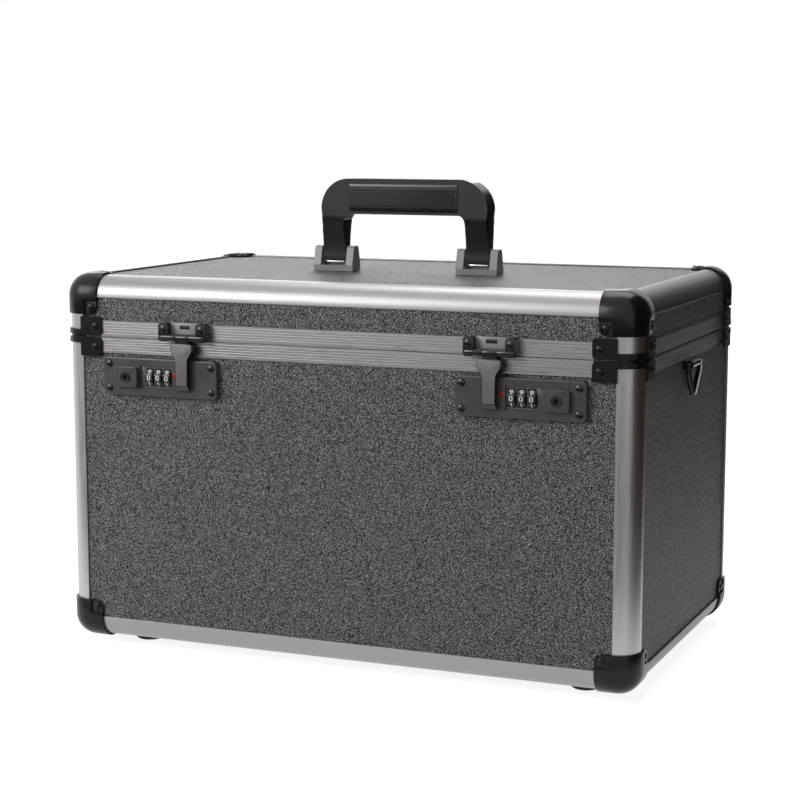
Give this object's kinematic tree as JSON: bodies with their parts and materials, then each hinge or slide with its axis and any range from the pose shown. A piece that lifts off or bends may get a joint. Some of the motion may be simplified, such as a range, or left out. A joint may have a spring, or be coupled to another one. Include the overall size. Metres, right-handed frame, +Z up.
{
  "type": "medication lock box",
  "caption": "Lockable carry case with a deep body, a hinged lid, aluminium edges, black ball corners, combination hasp locks and a folding handle.",
  "frame": {"origin": "centre of the bounding box in plan, at the height of the foot soles", "axes": "+X to the right and +Z up as seen from the lock side, which faces -Y"},
  "size_m": [0.4816, 0.3006, 0.3725],
  "materials": {
    "panel_skin": "pebbled dark charcoal laminate with a fine light speckle",
    "edge_aluminium": "satin anodised grey",
    "rim_aluminium": "satin anodised silver with fine ribs",
    "corner_black": "semi-gloss black",
    "keeper_black": "semi-gloss black",
    "lock_grey": "satin dark grey",
    "bracket_grey": "satin dark grey",
    "hasp_grey": "satin mid grey with a dark tip",
    "dial_black": "black with white digits",
    "lock_steel": "satin steel",
    "handle_black": "satin black with a ribbed grip",
    "strap_black": "semi-gloss black",
    "foot_rubber": "matt black",
    "lining_foam": "dark matt moulded foam with a cloth face"
  },
  "bodies": {
    "body": {"body_bottom_panel": "panel_skin", "body_corner_front_left": "corner_black", "body_corner_front_right": "corner_black", "body_corner_rear_left": "corner_black", "body_corner_rear_right": "corner_black", "body_edge_frame": "edge_aluminium", "body_front_panel": "panel_skin", "body_left_panel": "panel_skin", "body_lining": "lining_foam", "body_rear_panel": "panel_skin", "body_right_panel": "panel_skin", "body_rim_corner_front_left": "corner_black", "body_rim_corner_front_right": "corner_black", "body_rim_corner_rear_left": "corner_black", "body_rim_corner_rear_right": "corner_black", "body_rim_frame": "rim_aluminium", "foot_front_left": "foot_rubber", "foot_front_right": "foot_rubber", "foot_rear_left": "foot_rubber", "foot_rear_right": "foot_rubber", "hinge_body_leaf_left": "lock_grey", "hinge_body_leaf_right": "lock_grey", "lock_case_left": "lock_grey", "lock_case_right": "lock_grey", "strap_bracket_left": "strap_black", "strap_bracket_right": "strap_black"},
    "lid": {"handle_bracket_left": "bracket_grey", "handle_bracket_right": "bracket_grey", "hinge_lid_leaf_left": "lock_grey", "hinge_lid_leaf_right": "lock_grey", "keeper_left": "keeper_black", "keeper_right": "keeper_black", "lid_corner_front_left": "corner_black", "lid_corner_front_right": "corner_black", "lid_corner_rear_left": "corner_black", "lid_corner_rear_right": "corner_black", "lid_edge_frame": "edge_aluminium", "lid_lining": "lining_foam", "lid_rim_corner_front_left": "corner_black", "lid_rim_corner_front_right": "corner_black", "lid_rim_corner_rear_left": "corner_black", "lid_rim_corner_rear_right": "corner_black", "lid_rim_frame": "rim_aluminium", "lid_top_panel": "panel_skin", "lid_wall_band": "panel_skin"},
    "carry_handle": {"carry_handle": "handle_black"},
    "dial_left_1": {"dial_left_1": "dial_black"},
    "dial_left_2": {"dial_left_2": "dial_black"},
    "dial_left_3": {"dial_left_3": "dial_black"},
    "dial_right_1": {"dial_right_1": "dial_black"},
    "dial_right_2": {"dial_right_2": "dial_black"},
    "dial_right_3": {"dial_right_3": "dial_black"},
    "hasp_left": {"hasp_left": "hasp_grey"},
    "hasp_right": {"hasp_right": "hasp_grey"},
    "key_plug_left": {"key_plug_left": "lock_steel"},
    "key_plug_right": {"key_plug_right": "lock_steel"},
    "latch_bolt_left": {"latch_bolt_left": "lock_steel"},
    "latch_bolt_right": {"latch_bolt_right": "lock_steel"},
    "strap_ring_left": {"strap_ring_left": "strap_black"},
    "strap_ring_right": {"strap_ring_right": "strap_black"}
  },
  "joints": [
    {"name": "lid_hinge", "type": "hinge", "parent": "body", "child": "lid", "pos_m": [0, 0.14705, 0.251], "axis": [-1, 0, 0], "range_deg": [0, 100]},
    {"name": "carry_handle_fold", "type": "hinge", "parent": "lid", "child": "carry_handle", "pos_m": [0, 0.00075, 0.3048], "axis": [1, 0, 0], "range_deg": [-70, 70]},
    {"name": "hasp_left_hinge", "type": "hinge", "parent": "lid", "child": "hasp_left", "pos_m": [-0.1254, -0.14665, 0.2534], "axis": [-1, 0, 0], "range_deg": [0, 120]},
    {"name": "dial_left_1_turn", "type": "hinge", "parent": "body", "child": "dial_left_1", "pos_m": [-0.1411, -0.13842, 0.221], "axis": [1, 0, 0], "continuous": true},
    {"name": "dial_left_2_turn", "type": "hinge", "parent": "body", "child": "dial_left_2", "pos_m": [-0.1488, -0.13842, 0.221], "axis": [1, 0, 0], "continuous": true},
    {"name": "dial_left_3_turn", "type": "hinge", "parent": "body", "child": "dial_left_3", "pos_m": [-0.1565, -0.13842, 0.221], "axis": [1, 0, 0], "continuous": true},
    {"name": "key_plug_left_turn", "type": "hinge", "parent": "body", "child": "key_plug_left", "pos_m": [-0.1759, -0.14125, 0.221], "axis": [0, -1, 0], "range_deg": [0, 90]},
    {"name": "latch_bolt_left_slide", "type": "slide", "parent": "body", "child": "latch_bolt_left", "axis": [1, 0, 0], "range_m": [0, 0.004]},
    {"name": "strap_ring_left_swing", "type": "hinge", "parent": "body", "child": "strap_ring_left", "pos_m": [-0.2379, 0.00075, 0.2346], "axis": [0, 1, 0], "range_deg": [0, 150]},
    {"name": "hasp_right_hinge", "type": "hinge", "parent": "lid", "child": "hasp_right", "pos_m": [0.1254, -0.14665, 0.2534], "axis": [-1, 0, 0], "range_deg": [0, 120]},
    {"name": "dial_right_1_turn", "type": "hinge", "parent": "body", "child": "dial_right_1", "pos_m": [0.1411, -0.13842, 0.221], "axis": [1, 0, 0], "continuous": true},
    {"name": "dial_right_2_turn", "type": "hinge", "parent": "body", "child": "dial_right_2", "pos_m": [0.1488, -0.13842, 0.221], "axis": [1, 0, 0], "continuous": true},
    {"name": "dial_right_3_turn", "type": "hinge", "parent": "body", "child": "dial_right_3", "pos_m": [0.1565, -0.13842, 0.221], "axis": [1, 0, 0], "continuous": true},
    {"name": "key_plug_right_turn", "type": "hinge", "parent": "body", "child": "key_plug_right", "pos_m": [0.1759, -0.14125, 0.221], "axis": [0, 1, 0], "range_deg": [0, 90]},
    {"name": "latch_bolt_right_slide", "type": "slide", "parent": "body", "child": "latch_bolt_right", "axis": [-1, 0, 0], "range_m": [0, 0.004]},
    {"name": "strap_ring_right_swing", "type": "hinge", "parent": "body", "child": "strap_ring_right", "pos_m": [0.2379, 0.00075, 0.2346], "axis": [0, -1, 0], "range_deg": [0, 150]}
  ],
  "couplings": [
    {"joint": "key_plug_left_turn", "follows": "latch_bolt_left_slide", "rad_per_m": 392.69},
    {"joint": "key_plug_right_turn", "follows": "latch_bolt_right_slide", "rad_per_m": 392.69}
  ]
}
